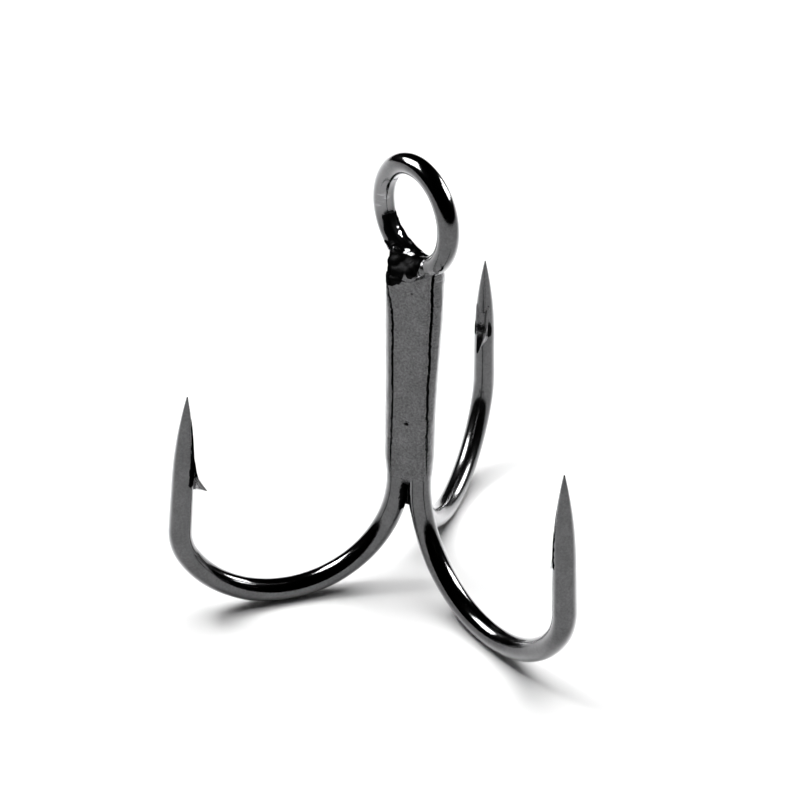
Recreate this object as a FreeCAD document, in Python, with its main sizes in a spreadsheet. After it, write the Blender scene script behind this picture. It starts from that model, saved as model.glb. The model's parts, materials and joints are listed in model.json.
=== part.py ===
import FreeCAD, Part

# A treble fishing hook: three barbed wire hooks brazed together along their shanks.
#
# One hook, the eyed one, has its wire turned into the ring eye. The two plain hooks end under the eye. Braze
# metal fills the valleys between the three shanks, the channel in their middle and the throat of the eye.
#
# Row frame: millimetres, +Z up, origin at the centre of the eye, +Y along the eye's hole, and the eyed hook
# opens towards +X. The hooks stand on their bends at z = -eye_height.

import math
import os

import Sketcher

VECTOR = FreeCAD.Vector
START, END, CENTRE = 1, 2, 3  # Sketcher's numbers for the points of a line or an arc
ROOT, ROOT_X, ROOT_Y = (-1, 1), -1, -2  # a sketch's origin and its two axes

# Driving dimensions, in millimetres and degrees: (alias, value, what it is).
DIMENSIONS = [
    ("wire_dia", 1.2, "hook wire"),
    ("capillary_gap", 0.02, "gap between neighbouring shanks, where the braze is drawn in"),
    ("eye_height", 21.54, "centre of the eye above the surface that the bends stand on"),
    ("eye_wire_dia", 1.05, "wire of the ring"),
    ("eye_radius", 2.53, "centre line of the ring"),
    ("eye_set_back", 0.12, "eye's centre behind the shanks' common axis"),
    ("eye_land", 0.03, "flat that the mandrel leaves round the inside of the ring"),
    ("eye_end_angle", 268.0, "where the ring's wire ends, counted from +X towards +Z"),
    ("neck_radius", 2.0, "centre line of the sweep from the shank into the ring"),
    ("bend_radius", 5.87, "centre line of the bend's large arc"),
    ("bend_turn", 153.0, "turn of the large arc"),
    ("spear_radius", 3.2, "centre line of the tighter arc below the point"),
    ("point_lean", 5.2, "lean of the point towards the shank"),
    ("spear_length", 2.5, "straight wire below the point's taper"),
    ("spear_dia", 1.14, "wire at the taper's foot, ground slightly thinner than the bend"),
    ("point_length", 5.15, "tapered point"),
    ("tip_radius", 0.03, "blunt end of the needle point"),
    ("taper_bulge", 0.14, "how far the taper's arc stands out of a straight cone"),
    ("barb_root", 2.1, "start of the barb above the taper's foot"),
    ("barb_bend", 0.98, "where the barb turns outwards, above the taper's foot"),
    ("barb_lift", 0.06, "barb proud of the wire where it turns outwards"),
    ("barb_drop", 0.33, "barb's tip below the taper's foot"),
    ("barb_height", 0.7, "barb's tip proud of the wire"),
    ("barb_heel", 0.05, "underside of the barb, where it meets the wire, above the taper's foot"),
    ("barb_width", 0.46, "barb across the wire"),
    ("notch_depth", 0.1, "chisel cut behind the barb"),
    ("notch_length", 0.9, "chisel cut along the wire"),
    ("plain_top", 18.4, "top of the plain hooks' shanks above the standing surface"),
    ("plain_end_round", 0.25, "rounding of the plain shanks' cut ends"),
    ("front_turn", -109.5, "bearing of the front plain hook's bend"),
    ("rear_turn", 123.3, "bearing of the rear plain hook's bend"),
    ("braze_film", 0.1, "braze metal proud of the wires"),
    ("groove_turn", 14.0, "width of the bare line that the films leave along each wire"),
    ("eyed_groove", -9.0, "bearing of the bare line on the eyed shank"),
    ("front_groove", -74.0, "bearing of the bare line on the front shank"),
    ("rear_groove", 120.0, "bearing of the bare line on the rear shank"),
    ("braze_depth", 75.0, "how far round each wire, into the valley, a fillet reaches"),
    ("braze_rise", 0.05, "foot of the braze above the start of the bends"),
    ("core_radius", 0.22, "braze in the channel between the three shanks"),
    ("throat_height", 0.8, "half height of the braze pooled under the eye"),
    ("throat_width", 1.25, "half width of the braze pooled under the eye"),
]
ALIASES = [alias for alias, _, _ in DIMENSIONS]


def dim(expression):
    """The expression with every driving dimension's name turned into a reference to its cell."""
    words = [f"Dimensions.{word}" if word in ALIASES else word for word in expression.split()]
    return " ".join(words)


# Sizes that several sub-parts share, written with the driving dimensions.
WIRE_RADIUS = "( wire_dia / 2 )"
SHANK_OFFSET = "( ( wire_dia + capillary_gap ) / sqrt( 3 ) )"
HALF_PITCH = "( ( wire_dia + capillary_gap ) / 2 )"
BEND_START = "( bend_radius + wire_dia / 2 )"
EYE_OFFSET = f"( {SHANK_OFFSET} + eye_set_back )"
NECK_RUN = f"( neck_radius + {EYE_OFFSET} )"
NECK_RISE = f"sqrt( ( neck_radius + eye_radius ) ^ 2 - {NECK_RUN} ^ 2 )"
NECK_START = f"( eye_height - {NECK_RISE} )"
NECK_TURN = f"( acos( {NECK_RUN} / ( neck_radius + eye_radius ) ) / 1 deg )"
BORE_RADIUS = "( eye_radius - eye_wire_dia / 2 + eye_land )"
ARC_STEP = "( bend_radius - spear_radius )"
TAPER_X = (
    f"( bend_radius - {ARC_STEP} * cos( bend_turn )"
    " + spear_radius * cos( point_lean ) - spear_length * sin( point_lean ) )"
)
TAPER_Z = (
    f"( {BEND_START} - {ARC_STEP} * sin( bend_turn )"
    " + spear_radius * sin( point_lean ) + spear_length * cos( point_lean ) )"
)
SPEAR_FRAME = {"x": TAPER_X, "y": TAPER_Z, "turn": "point_lean"}
TAPER_CHORD = "( ( spear_dia / 2 - tip_radius ) ^ 2 + point_length ^ 2 )"
TAPER_ARC = f"( ( {TAPER_CHORD} / 4 + taper_bulge ^ 2 ) / ( 2 * taper_bulge ) )"
BARB_REACH = f"( {WIRE_RADIUS} + barb_height )"
BARB_SEAT = "( wire_dia / 4 )"
BARB_SLOPE = f"( ( barb_heel + barb_drop ) / ( {BARB_REACH} - {BARB_SEAT} ) )"
BRAZE_FOOT = f"( {BEND_START} + braze_rise )"
BRAZE_LENGTH = f"( {NECK_START} - {BRAZE_FOOT} )"
THROAT_CENTRE = f"( eye_height - {BORE_RADIUS} - throat_height )"

doc = FreeCAD.newDocument("TrebleHook")
sheet = doc.addObject("Spreadsheet::Sheet", "Dimensions")
for row, (alias, value, meaning) in enumerate(DIMENSIONS, start=1):
    sheet.set(f"A{row}", meaning)
    sheet.set(f"B{row}", str(value))
    sheet.setAlias(f"B{row}", alias)
doc.recompute()


def size(expression):
    """The value of an expression, in millimetres or degrees."""
    value = sheet.evalExpression(dim(expression))
    return float(getattr(value, "Value", value))


def add_body(node):
    body = doc.addObject("PartDesign::Body", node)
    body.Label = node
    return body


def origin_plane(body, role):
    return next(item for item in body.Origin.OriginFeatures if item.Role == role)


def move(item, where, x="0", y="0", z="0", axis=VECTOR(0, 0, 1), turn="0"):
    """Binds a placement property to expressions for its position and its turn about an axis."""
    setattr(item, where, FreeCAD.Placement(VECTOR(), FreeCAD.Rotation(axis, 1)))
    for direction, expression in zip("xyz", (x, y, z)):
        item.setExpression(f".{where}.Base.{direction}", dim(expression))
    item.setExpression(f".{where}.Rotation.Angle", dim(turn))


def add_sketch(body, name, plane, **frame):
    """A sketch on an origin plane, moved and turned from it by expressions."""
    sketch = body.newObject("Sketcher::SketchObject", name)
    sketch.AttachmentSupport = [(origin_plane(body, plane), "")]
    sketch.MapMode = "FlatFace"
    move(sketch, "AttachmentOffset", **frame)
    return sketch


def bind(sketch, kind, *where, to):
    """A dimension that follows an expression. Angles are in degrees."""
    value = size(to)
    if value < 0:
        half = len(where) // 2
        where = where[half:] + where[:half]
        to = f"- ( {to} )"
        value = -value
    if kind == "Angle":
        value = math.radians(value)
    index = sketch.addConstraint(Sketcher.Constraint(kind, *where, value))
    sketch.setExpression(f"Constraints[{index}]", dim(to))


def tie(sketch, kind, *where):
    sketch.addConstraint(Sketcher.Constraint(kind, *where))


def arc(x, y, radius, start, end):
    """An arc that runs counterclockwise from start to end, in degrees."""
    circle = Part.Circle(VECTOR(x, y, 0), VECTOR(0, 0, 1), radius)
    return Part.ArcOfCircle(circle, math.radians(start), math.radians(end))


def line(x1, y1, x2, y2):
    return Part.LineSegment(VECTOR(x1, y1, 0), VECTOR(x2, y2, 0))


def place_point(sketch, geometry, point, x, y):
    """Holds a point at two expressions' distances from the sketch's origin."""
    if x == "0":
        tie(sketch, "PointOnObject", geometry, point, ROOT_Y)
    else:
        bind(sketch, "DistanceX", *ROOT, geometry, point, to=x)
    if y == "0":
        tie(sketch, "PointOnObject", geometry, point, ROOT_X)
    else:
        bind(sketch, "DistanceY", *ROOT, geometry, point, to=y)


def add_polygon(sketch, corners):
    """A closed outline through corners given as pairs of expressions."""
    points = [(size(x), size(y)) for x, y in corners]
    following = points[1:] + points[:1]
    sides = [sketch.addGeometry(line(*a, *b)) for a, b in zip(points, following)]
    for side, after in zip(sides, sides[1:] + sides[:1]):
        tie(sketch, "Coincident", side, END, after, START)
    for side, (x, y) in zip(sides, corners):
        place_point(sketch, side, START, x, y)


def add_circle(sketch, diameter, x="0", y="0"):
    circle = sketch.addGeometry(Part.Circle(VECTOR(size(x), size(y), 0), VECTOR(0, 0, 1), size(diameter) / 2))
    bind(sketch, "Diameter", circle, to=diameter)
    place_point(sketch, circle, CENTRE, x, y)


def add_hook(body, shank_top):
    """Shank and bend as one swept wire in the body's XZ plane, the shank on its Z axis."""
    path = add_sketch(body, "HookPath", "XZ_Plane")
    bend, spear = size("bend_radius"), size("spear_radius")
    turn, lean = size("bend_turn"), size("point_lean")
    start = size(BEND_START)
    hub_x = bend - (bend - spear) * math.cos(math.radians(turn))
    hub_y = start - (bend - spear) * math.sin(math.radians(turn))

    shank = path.addGeometry(line(0, size(shank_top), 0, start))
    large = path.addGeometry(arc(bend, start, bend, 180, 180 + turn))
    tight = path.addGeometry(arc(hub_x, hub_y, spear, 180 + turn, 360 + lean))
    place_point(path, shank, START, "0", shank_top)
    place_point(path, shank, END, "0", BEND_START)
    for one, other in ((shank, large), (large, tight)):
        tie(path, "Tangent", one, END, other, START)
    bind(path, "Radius", large, to="bend_radius")
    bind(path, "Angle", large, to="bend_turn")
    bind(path, "Radius", tight, to="spear_radius")
    bind(path, "Angle", tight, to="180 - bend_turn + point_lean")

    section = add_sketch(body, "WireSection", "XY_Plane", z=shank_top)
    add_circle(section, "wire_dia")
    wire = body.newObject("PartDesign::AdditivePipe", "HookWire")
    wire.Profile = section
    wire.Spine = (path, [f"Edge{number}" for number in range(1, 4)])


def add_point(body):
    """The slightly tapered spear and the needle point, turned about the spear's axis."""
    profile = add_sketch(body, "PointProfile", "XZ_Plane", **SPEAR_FRAME)
    radius, low = size(WIRE_RADIUS), -size("spear_length")
    top, tip, length = size("spear_dia / 2"), size("tip_radius"), size("point_length")
    middle = VECTOR((top + tip) / 2 + size("taper_bulge"), length / 2, 0)
    ogive = Part.Arc(VECTOR(top, 0, 0), middle, VECTOR(tip, length, 0))
    foot = profile.addGeometry(line(0, low, radius, low))
    spear = profile.addGeometry(line(radius, low, top, 0))
    taper = profile.addGeometry(ogive)
    end = profile.addGeometry(line(tip, length, 0, length))
    axis = profile.addGeometry(line(0, length, 0, low))
    tie(profile, "Coincident", foot, END, spear, START)
    tie(profile, "Coincident", spear, END, taper, START)
    tie(profile, "Coincident", taper, END, end, START)
    tie(profile, "Coincident", end, END, axis, START)
    tie(profile, "Coincident", axis, END, foot, START)
    place_point(profile, foot, START, "0", "- spear_length")
    place_point(profile, foot, END, WIRE_RADIUS, "- spear_length")
    place_point(profile, spear, END, "spear_dia / 2", "0")
    place_point(profile, end, START, "tip_radius", "point_length")
    place_point(profile, end, END, "0", "point_length")
    bind(profile, "Radius", taper, to=TAPER_ARC)
    point = body.newObject("PartDesign::Revolution", "Point")
    point.Profile = profile
    point.ReferenceAxis = (profile, ["V_Axis"])
    point.Angle = 360


def add_barb(body):
    """The barb, raised on the shank side of the spear, and the chisel cut behind it."""
    sliver = add_sketch(body, "BarbProfile", "XZ_Plane", **SPEAR_FRAME)
    add_polygon(
        sliver,
        [
            (f"- {BARB_SEAT}", "barb_root"),
            (f"- ( {WIRE_RADIUS} + barb_lift )", "barb_bend"),
            (f"- {BARB_REACH}", "- barb_drop"),
            (f"- {BARB_SEAT}", "barb_heel"),
        ],
    )
    barb = body.newObject("PartDesign::Pad", "Barb")
    barb.Profile = sliver
    barb.Midplane = True
    barb.setExpression("Length", dim("barb_width"))

    root_x = f"( {WIRE_RADIUS} - notch_depth )"
    root_y = f"( {BARB_SLOPE} * ( {BARB_REACH} - {root_x} ) - barb_drop )"
    lip_x = f"( {WIRE_RADIUS} + notch_depth )"
    lip_y = f"( {BARB_SLOPE} * ( {BARB_REACH} - {lip_x} ) - barb_drop )"
    outline = add_sketch(body, "NotchProfile", "XZ_Plane", **SPEAR_FRAME)
    add_polygon(
        outline,
        [
            (f"- {root_x}", root_y),
            (f"- {lip_x}", lip_y),
            (f"- {lip_x}", f"{root_y} - notch_length"),
        ],
    )
    notch = body.newObject("PartDesign::Pocket", "BarbNotch")
    notch.Profile = outline
    notch.Midplane = True
    notch.setExpression("Length", dim("wire_dia"))


def add_eye(body):
    """The neck that sweeps out of the shank and the ring, with the mandrel's flat round its inside."""
    neck_radius, turn = size("neck_radius"), size(NECK_TURN)
    path = add_sketch(body, "NeckPath", "XZ_Plane")
    sweep = path.addGeometry(arc(neck_radius, size(NECK_START), neck_radius, 180 - turn, 180))
    place_point(path, sweep, CENTRE, "neck_radius", NECK_START)
    place_point(path, sweep, END, "0", NECK_START)
    bind(path, "Angle", sweep, to=NECK_TURN)

    foot = add_sketch(body, "NeckFoot", "XY_Plane", z=NECK_START)
    add_circle(foot, "wire_dia")
    ring_foot = add_sketch(
        body,
        "RingSection",
        "XY_Plane",
        x=f"eye_radius * cos( {NECK_TURN} ) - {EYE_OFFSET}",
        z=f"eye_height - eye_radius * sin( {NECK_TURN} )",
        axis=VECTOR(0, 1, 0),
        turn=NECK_TURN,
    )
    add_circle(ring_foot, "eye_wire_dia")
    half = size("eye_wire_dia") / 2
    hub = ring_foot.addGeometry(line(-size("eye_radius"), half, -size("eye_radius"), -half), True)
    place_point(ring_foot, hub, START, "- eye_radius", "eye_wire_dia / 2")
    place_point(ring_foot, hub, END, "- eye_radius", "- eye_wire_dia / 2")

    neck = body.newObject("PartDesign::AdditivePipe", "Neck")
    neck.Profile = foot
    neck.Spine = (path, ["Edge1"])
    neck.Transformation = "Multisection"
    neck.Sections = [(ring_foot, [""])]

    ring = body.newObject("PartDesign::Revolution", "Ring")
    ring.Profile = ring_foot
    ring.ReferenceAxis = (ring_foot, ["Axis0"])
    ring.setExpression("Angle", dim(f"eye_end_angle + {NECK_TURN}"))

    mandrel = add_sketch(body, "MandrelCircle", "XZ_Plane")
    add_circle(mandrel, f"2 * {BORE_RADIUS}", f"- {EYE_OFFSET}", "eye_height")
    flat = body.newObject("PartDesign::Pocket", "MandrelFlat")
    flat.Profile = mandrel
    flat.Midplane = True
    flat.setExpression("Length", dim("2 * wire_dia"))


def add_cut_end(body):
    """Rounds the cut end of a plain hook's shank."""
    doc.recompute()
    top = size("plain_top")
    wire = body.Tip
    edges = [
        f"Edge{number}"
        for number, edge in enumerate(wire.Shape.Edges, start=1)
        if edge.BoundBox.ZMin > top - 0.001
    ]
    rounding = body.newObject("PartDesign::Fillet", "CutEnd")
    rounding.Base = (wire, edges)
    rounding.setExpression("Radius", dim("plain_end_round"))


def stand_hook(body, bearing, turn):
    """Puts a hook's shank in its place in the bundle and turns its bend to the hook's bearing."""
    x = f"eye_set_back + {SHANK_OFFSET} * cos( {bearing} )"
    y = f"{SHANK_OFFSET} * sin( {bearing} )"
    move(body, "Placement", x=x, y=y, z="- eye_height", turn=turn)


def make_eyed_hook():
    body = add_body("eyed_hook_wire")
    add_hook(body, NECK_START)
    add_point(body)
    add_barb(body)
    add_eye(body)
    stand_hook(body, 0, "0")
    return body


def make_plain_hook(node, bearing, turn):
    body = add_body(node)
    add_hook(body, "plain_top")
    add_cut_end(body)
    add_point(body)
    add_barb(body)
    stand_hook(body, bearing, turn)
    return body


def add_cylinder(name, radius, angle="360", **where):
    cylinder = doc.addObject("Part::Cylinder", name)
    cylinder.setExpression("Radius", dim(radius))
    cylinder.setExpression("Height", dim(BRAZE_LENGTH))
    cylinder.setExpression("Angle", dim(angle))
    move(cylinder, "Placement", **where)
    return cylinder


def cut(name, base, tools):
    """The base less each of the tools, the last cut being the named one."""
    for number, tool in enumerate(tools, start=1):
        last = number == len(tools)
        result = doc.addObject("Part::Cut", name if last else f"{name}_stage_{number}")
        result.Base = base
        result.Tool = tool
        base = result
    base.Label = name
    return base


def make_fillet(node, bearing, right_wrap, left_wrap):
    """Braze in one valley between two shanks, nearly flush, with a film that wraps onto both wires.

    It is built with the two shanks at x = -HALF_PITCH and +HALF_PITCH and the valley facing +Y. The wraps are
    the turns of the film round the shanks at +HALF_PITCH and -HALF_PITCH, up to their bare lines.
    """
    outer = f"( {WIRE_RADIUS} + braze_film )"
    floor = f"{WIRE_RADIUS} * cos( braze_depth )"
    middle = doc.addObject("Part::Box", f"{node}_middle")
    middle.setExpression("Length", dim(f"2 * {HALF_PITCH}"))
    middle.setExpression("Width", dim(f"{outer} - {floor}"))
    middle.setExpression("Height", dim(BRAZE_LENGTH))
    move(middle, "Placement", x=f"- {HALF_PITCH}", y=floor)
    right = add_cylinder(f"{node}_right", outer, right_wrap, x=HALF_PITCH, turn=f"90 - ( {right_wrap} )")
    left = add_cylinder(f"{node}_left", outer, left_wrap, x=f"- {HALF_PITCH}", turn="90")
    whole = doc.addObject("Part::MultiFuse", f"{node}_whole")
    whole.Shapes = [middle, right, left]
    shanks = [
        add_cylinder(f"{node}_shank_right", WIRE_RADIUS, x=HALF_PITCH),
        add_cylinder(f"{node}_shank_left", WIRE_RADIUS, x=f"- {HALF_PITCH}"),
    ]
    fillet = cut(node, whole, shanks)
    move(
        fillet,
        "Placement",
        x=f"eye_set_back + {SHANK_OFFSET} / 2 * cos( {bearing} )",
        y=f"{SHANK_OFFSET} / 2 * sin( {bearing} )",
        z=f"{BRAZE_FOOT} - eye_height",
        turn=f"{bearing} - 90",
    )
    return fillet


def make_core(node):
    """Braze in the three-cornered channel between the shanks."""
    rod = add_cylinder(f"{node}_rod", "core_radius")
    shanks = [
        add_cylinder(
            f"{node}_shank_{number}",
            WIRE_RADIUS,
            x=f"{SHANK_OFFSET} * cos( {bearing} )",
            y=f"{SHANK_OFFSET} * sin( {bearing} )",
        )
        for number, bearing in enumerate((0, -120, 120), start=1)
    ]
    core = cut(node, rod, shanks)
    move(core, "Placement", x="eye_set_back", z=f"{BRAZE_FOOT} - eye_height")
    return core


def make_throat(node, neighbours):
    """Braze pooled over the plain shanks' ends and the end of the ring's wire."""
    pool = doc.addObject("Part::Ellipsoid", f"{node}_pool")
    pool.setExpression("Radius1", dim("throat_height"))
    pool.setExpression("Radius2", dim("throat_width"))
    pool.setExpression("Radius3", dim("throat_width"))
    move(pool, "Placement", x="eye_set_back", z=f"{THROAT_CENTRE} - eye_height")
    return cut(node, pool, neighbours)


wires = [
    make_eyed_hook(),
    make_plain_hook("front_plain_hook_wire", -120, "front_turn"),
    make_plain_hook("rear_plain_hook_wire", 120, "rear_turn"),
]
braze = [
    make_fillet(
        "front_braze_fillet", -60, "-60 - front_groove - groove_turn / 2", "eyed_groove + 60 - groove_turn / 2"
    ),
    make_fillet(
        "back_braze_fillet", 180, "180 - rear_groove - groove_turn / 2", "front_groove + 180 - groove_turn / 2"
    ),
    make_fillet(
        "rear_braze_fillet", 60, "60 - eyed_groove - groove_turn / 2", "rear_groove - 60 - groove_turn / 2"
    ),
    make_core("braze_core"),
]
throat = make_throat("braze_throat", wires + braze)
nodes = wires + braze + [throat]
doc.recompute()

for item in doc.Objects:
    if "Invalid" in item.State or "Error" in item.State:
        raise RuntimeError(f"{item.Name} did not build: {item.State}")

os.makedirs("parts", exist_ok=True)
for item in nodes:
    if item.Shape.isNull() or not item.Shape.isValid():
        raise RuntimeError(f"{item.Label} has no sound solid")
    item.Shape.exportStep(f"parts/{item.Label}.step")
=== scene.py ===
import json
import math
from collections import namedtuple

import bmesh
import bpy
import numpy as np
from mathutils import Matrix, Vector, noise


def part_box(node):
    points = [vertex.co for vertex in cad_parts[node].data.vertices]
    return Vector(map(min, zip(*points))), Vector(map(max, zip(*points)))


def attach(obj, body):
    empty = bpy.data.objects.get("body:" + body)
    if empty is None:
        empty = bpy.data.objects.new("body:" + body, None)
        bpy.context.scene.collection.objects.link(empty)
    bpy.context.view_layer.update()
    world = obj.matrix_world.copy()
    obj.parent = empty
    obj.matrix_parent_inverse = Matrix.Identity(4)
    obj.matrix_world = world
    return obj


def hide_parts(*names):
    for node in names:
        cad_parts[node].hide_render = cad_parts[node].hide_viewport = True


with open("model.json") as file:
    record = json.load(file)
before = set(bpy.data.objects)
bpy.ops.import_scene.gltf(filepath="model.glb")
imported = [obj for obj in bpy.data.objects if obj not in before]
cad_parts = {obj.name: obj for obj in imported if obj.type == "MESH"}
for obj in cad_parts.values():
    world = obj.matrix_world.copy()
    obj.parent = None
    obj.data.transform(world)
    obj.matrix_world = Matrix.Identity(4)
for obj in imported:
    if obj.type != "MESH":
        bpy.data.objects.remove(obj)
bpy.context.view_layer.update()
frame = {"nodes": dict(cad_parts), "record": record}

# A treble hook: three black-nickel wire hooks, brazed together along their shanks, on a pale studio floor.
#
# The scene is in metres. Shapes are worked out in millimetres in the part's own frame, and scaled when their
# meshes are done. A height is above the surface that the bends stand on, and a bearing is in degrees from +X
# towards +Y.
MM = 0.001

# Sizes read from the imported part.
EYED_LOW, EYED_HIGH = (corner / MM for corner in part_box("eyed_hook_wire"))
CORE_LOW, CORE_HIGH = (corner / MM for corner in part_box("braze_core"))
EYE = next(m for m in frame["record"]["mounts"] if m["name"] == "eye")
BORE_RADIUS = EYE["dims"]["r_mm"]
WIRE_RADIUS = (EYED_HIGH.y - EYED_LOW.y) / 2
STAND = EYED_LOW.z  # the surface that the bends stand on
BRAZE_FOOT = CORE_LOW.z - STAND
NECK_START = CORE_HIGH.z - STAND

# The hooks' profile, as the part has it.
EYE_HEIGHT = -STAND
EYE_RADIUS = 2.53
EYE_WIRE_RADIUS = EYED_HIGH.z - EYE_RADIUS
EYE_END = 268.0
NECK_RADIUS = 2.0
BEND_RADIUS = 5.87
BEND_TURN = 153.0
SPEAR_RADIUS = 3.2
POINT_LEAN = 5.2
SPEAR_LENGTH = 2.5
SPEAR_TOP_RADIUS = 0.57
POINT_LENGTH = 5.15
TIP_RADIUS = 0.03
TAPER_BULGE = 0.14
PLAIN_TOP = 18.4
END_ROUND = 0.25  # rounding of a wire's cut end
CAPILLARY_GAP = 0.02
EYE_SET_BACK = 0.12
HALF_PITCH = WIRE_RADIUS + CAPILLARY_GAP / 2
SHANK_OFFSET = 2 * HALF_PITCH / math.sqrt(3)
BEND_START = BEND_RADIUS + WIRE_RADIUS
AXIS = np.array((EYE_SET_BACK, 0.0, STAND))
EYE_X = -SHANK_OFFSET - EYE_SET_BACK  # the eye's centre, seen from the eyed hook's own shank

# A wire's mesh is made of rings: their spacing in a bend or a taper and along a shank, and the points in one.
STEP = 0.07
SHANK_STEP = 0.14
SIDES = 64

# One hook: its node, the bearings of its shank and of its bend, how much longer its point came out, how much
# higher its barb was cut and how far that barb was lifted, the heights and bearings of the bare line that the
# braze leaves along its shank, how far round and how far up the spear its point's painted dark reflection
# reaches, and a seed.
Hook = namedtuple("Hook", "node shank bend longer rise lift line chisel_share chisel_top seed")
HOOKS = {
    "eyed": Hook(
        node="eyed_hook_wire",
        shank=0,
        bend=0,
        longer=-0.1,
        rise=-0.25,
        lift=0.7,
        line=((6.0, 9.0, 11.0, 13.5, 16.6, 18.0, 19.3, 20.3), (-13, -13, -11, -8, -6, -7, -16, -29)),
        chisel_share=1.0,
        chisel_top=4.5,
        seed=3.0,
    ),
    "front": Hook(
        node="front_plain_hook_wire",
        shank=-120,
        bend=-109.5,
        longer=0.12,
        rise=0.0,
        lift=1.0,
        line=((6.5, 8.7, 11.0, 16.0, 16.8, 18.0), (-78, -72, -66, -66, -74, -98)),
        chisel_share=0.84,
        chisel_top=4.5,
        seed=17.0,
    ),
    "rear": Hook(
        node="rear_plain_hook_wire",
        shank=120,
        bend=123.3,
        longer=0.12,
        rise=0.3,
        lift=1.0,
        line=((6.0, 18.0), (120, 120)),
        chisel_share=0.75,
        chisel_top=1.6,
        seed=41.0,
    ),
}

# One fillet: its node, the valley's bearing, the hooks to the right and the left of it as seen from outside,
# its pits as places across and up and radii, how thick it is heaped against the eyed wire, and a seed.
Fillet = namedtuple("Fillet", "node bearing right left pits heap seed")
FILLETS = (
    Fillet(
        node="front_braze_fillet",
        bearing=-60,
        right="front",
        left="eyed",
        pits=[(-0.26, 17.95, 0.07), (-0.17, 18.1, 0.05), (-0.07, 10.4, 0.14)],
        heap=0.0,
        seed=5.0,
    ),
    Fillet(
        node="back_braze_fillet",
        bearing=180,
        right="rear",
        left="front",
        pits=[(-0.2, 13.0, 0.09)],
        heap=0.0,
        seed=23.0,
    ),
    Fillet(
        node="rear_braze_fillet",
        bearing=60,
        right="eyed",
        left="rear",
        pits=[(0.25, 9.4, 0.08), (-0.1, 15.2, 0.07)],
        heap=0.19,
        seed=31.0,
    ),
)


# Numbers, curves and meshes.


def polar(degrees):
    angle = math.radians(degrees)
    return np.array((math.cos(angle), math.sin(angle)))


def bearing_of(x, y):
    return math.degrees(math.atan2(y, x))


def smooth(x, low, high):
    """0 below low, 1 above high and an S between them."""
    t = min(1.0, max(0.0, (x - low) / (high - low)))
    return t * t * (3 - 2 * t)


def ripple(place, octaves):
    """A smooth random number at a place: noise summed over pairs of a size and a fineness."""
    return sum(size * noise.noise(place * fineness) for size, fineness in octaves)


def arc_points(centre, radius, start, end):
    """Points along an arc, its start left out."""
    count = max(2, round(abs(math.radians(end - start)) * radius / STEP))
    angles = np.linspace(start, end, count + 1)[1:]
    return [centre + radius * polar(a) for a in angles]


def line_points(start, end, step=STEP):
    """Points along a straight line, its start left out."""
    count = max(1, round(np.linalg.norm(end - start) / step))
    return [start + (end - start) * t for t in np.linspace(0, 1, count + 1)[1:]]


def curve(points, count):
    """A smooth curve through points, as an array of positions."""
    points = np.array(points)
    padded = np.vstack([2 * points[0] - points[1], points, 2 * points[-1] - points[-2]])
    out = []
    for at in np.linspace(0, len(points) - 1, count):
        i = min(int(at), len(points) - 2)
        t = at - i
        a, b, c, d = padded[i : i + 4]
        out.append(b + 0.5 * t * (c - a + t * (2 * a - 5 * b + 4 * c - d + t * (3 * (b - c) + d - a))))
    return np.array(out)


def tube_faces(rings, sides):
    """The faces of a tube through rings of points, with both its ends closed."""
    faces = []
    for ring in range(rings - 1):
        low, high = ring * sides, (ring + 1) * sides
        for side in range(sides):
            after = (side + 1) % sides
            faces.append((low + side, low + after, high + after, high + side))
    faces.append(tuple(reversed(range(sides))))
    faces.append(tuple(range((rings - 1) * sides, rings * sides)))
    return faces


def add_object(name, mesh):
    item = bpy.data.objects.new(name, mesh)
    bpy.context.scene.collection.objects.link(item)
    return item


def new_object(name, verts, faces):
    """A mesh object whose faces look outwards."""
    mesh = bpy.data.meshes.new(name)
    mesh.from_pydata([tuple(float(c) for c in v) for v in verts], [], faces)
    mesh.update()
    bm = bmesh.new()
    bm.from_mesh(mesh)
    bmesh.ops.recalc_face_normals(bm, faces=bm.faces)
    bm.to_mesh(mesh)
    bm.free()
    return add_object(name, mesh)


def apply_modifier(item, kind, **settings):
    modifier = item.modifiers.new(kind, kind)
    for key, value in settings.items():
        setattr(modifier, key, value)
    with bpy.context.temp_override(object=item, active_object=item, selected_objects=[item]):
        bpy.ops.object.modifier_apply(modifier=modifier.name)


def combine(item, other, operation):
    """Joins another solid to an item, or cuts it away, and drops the other."""
    apply_modifier(item, "BOOLEAN", object=other, operation=operation, solver="EXACT")
    bpy.data.objects.remove(other)


def shade_smooth(item):
    for face in item.data.polygons:
        face.use_smooth = True


def set_mask(item, name, values):
    """Stores one number per vertex for the material to read."""
    layer = item.data.attributes.new(name, "FLOAT", "POINT")
    layer.data.foreach_set("value", values)


# The wires.

HUB = np.array((BEND_RADIUS, BEND_START)) + (BEND_RADIUS - SPEAR_RADIUS) * polar(180 + BEND_TURN)
SPEAR_FOOT = HUB + SPEAR_RADIUS * polar(POINT_LEAN)
SPEAR_WAY = polar(90 + POINT_LEAN)
TAPER_FOOT = SPEAR_FOOT + SPEAR_LENGTH * SPEAR_WAY

# A drawn and bent wire is never quite true: how its radius ripples, and how quickly in the hook's own plane.
WIRE_RIPPLE = ((0.004, 1.0), (0.0012, 5.3))
WIRE_RIPPLE_PACE = 1.1
# The rounding of a cut end, as shares of its radius.
DOME = (0.0, 0.12, 0.3, 0.55, 0.78, 0.92, 1.0)

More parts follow.
